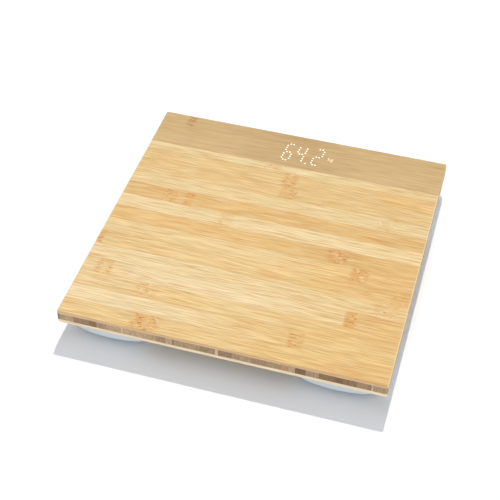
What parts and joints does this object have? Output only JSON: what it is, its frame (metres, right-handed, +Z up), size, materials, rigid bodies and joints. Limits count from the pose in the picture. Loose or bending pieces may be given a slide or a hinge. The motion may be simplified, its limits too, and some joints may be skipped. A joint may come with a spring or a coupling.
{
  "type": "digital bathroom scale",
  "caption": "Slim square bamboo platform with a dotted light display under a darker veneer strip, standing on rounded load-cell feet.",
  "frame": {"origin": "on the floor under the middle of the platform", "axes": "+X to the right and +Y towards the display, as seen by a person who stands in front of it; +Z up"},
  "size_m": [0.3, 0.3, 0.032],
  "materials": {
    "pale_bamboo": "satin lacquered bamboo, strips side by side",
    "dark_veneer": "satin lacquered thin bamboo, stained darker",
    "carbonised_bamboo": "sawn carbonised bamboo edge",
    "cream_bamboo": "fine sanded pale bamboo",
    "foot_plastic": "satin pale bluish white moulding",
    "housing_plastic": "fine spark-textured pale moulding",
    "button_plastic": "satin dark grey",
    "pad_rubber": "matte grey non-slip rubber",
    "mask_plastic": "white light-tight moulding",
    "diffuser_film": "milky translucent film",
    "circuit_board": "green solder mask",
    "header_plastic": "black moulding with tinned pins",
    "chip_resin": "black epoxy",
    "led_lens": "pale phosphor lens",
    "battery_sleeve": "plain printed metal sleeve",
    "contact_steel": "nickel-plated spring steel",
    "screw_steel": "zinc-plated",
    "cell_steel": "stamped nickel-plated steel",
    "gauge_silicone": "white silicone bead",
    "lead_sleeve": "flat three-core sleeve"
  },
  "bodies": {
    "platform": {"top_ply": "pale_bamboo", "display_veneer": "dark_veneer", "core_ply": "carbonised_bamboo", "bottom_ply": "cream_bamboo", "light_mask": "mask_plastic", "diffuser_sheet": "diffuser_film", "led_board": "circuit_board", "led_chips": "led_lens", "board_header": "header_plastic", "electronics_housing": "housing_plastic", "main_board": "circuit_board", "controller_chip": "chip_resin", "unit_switch": "chip_resin", "battery_front": "battery_sleeve", "battery_middle": "battery_sleeve", "battery_rear": "battery_sleeve", "spring_contacts": "contact_steel", "plate_contacts": "contact_steel", "housing_screws": "screw_steel", "board_screws": "screw_steel", "front_left_foot_housing": "foot_plastic", "front_left_load_cell": "cell_steel", "front_left_strain_gauge": "gauge_silicone", "front_left_foot_screws": "screw_steel", "front_left_sensor_lead": "lead_sleeve", "front_right_foot_housing": "foot_plastic", "front_right_load_cell": "cell_steel", "front_right_strain_gauge": "gauge_silicone", "front_right_foot_screws": "screw_steel", "front_right_sensor_lead": "lead_sleeve", "rear_left_foot_housing": "foot_plastic", "rear_left_load_cell": "cell_steel", "rear_left_strain_gauge": "gauge_silicone", "rear_left_foot_screws": "screw_steel", "rear_left_sensor_lead": "lead_sleeve", "rear_right_foot_housing": "foot_plastic", "rear_right_load_cell": "cell_steel", "rear_right_strain_gauge": "gauge_silicone", "rear_right_foot_screws": "screw_steel", "rear_right_sensor_lead": "lead_sleeve"},
    "front_left_foot": {"front_left_foot_cap": "foot_plastic", "front_left_foot_pad": "pad_rubber"},
    "front_right_foot": {"front_right_foot_cap": "foot_plastic", "front_right_foot_pad": "pad_rubber"},
    "rear_left_foot": {"rear_left_foot_cap": "foot_plastic", "rear_left_foot_pad": "pad_rubber"},
    "rear_right_foot": {"rear_right_foot_cap": "foot_plastic", "rear_right_foot_pad": "pad_rubber"},
    "battery_door": {"battery_door": "housing_plastic"},
    "unit_button": {"unit_button": "button_plastic"}
  },
  "joints": [
    {"name": "front_left_foot_press", "type": "slide", "parent": "platform", "child": "front_left_foot", "axis": [0, 0, 1], "range_m": [0, 0.0004], "stiffness_N_per_m": 50000},
    {"name": "front_right_foot_press", "type": "slide", "parent": "platform", "child": "front_right_foot", "axis": [0, 0, 1], "range_m": [0, 0.0004], "stiffness_N_per_m": 50000},
    {"name": "rear_left_foot_press", "type": "slide", "parent": "platform", "child": "rear_left_foot", "axis": [0, 0, 1], "range_m": [0, 0.0004], "stiffness_N_per_m": 50000},
    {"name": "rear_right_foot_press", "type": "slide", "parent": "platform", "child": "rear_right_foot", "axis": [0, 0, 1], "range_m": [0, 0.0004], "stiffness_N_per_m": 50000},
    {"name": "battery_door_slide", "type": "slide", "parent": "platform", "child": "battery_door", "axis": [0, -1, 0], "range_m": [0, 0.045]},
    {"name": "unit_button_press", "type": "slide", "parent": "platform", "child": "unit_button", "axis": [0, 0, 1], "range_m": [0, 0.0008], "stiffness_N_per_m": 2000}
  ]
}
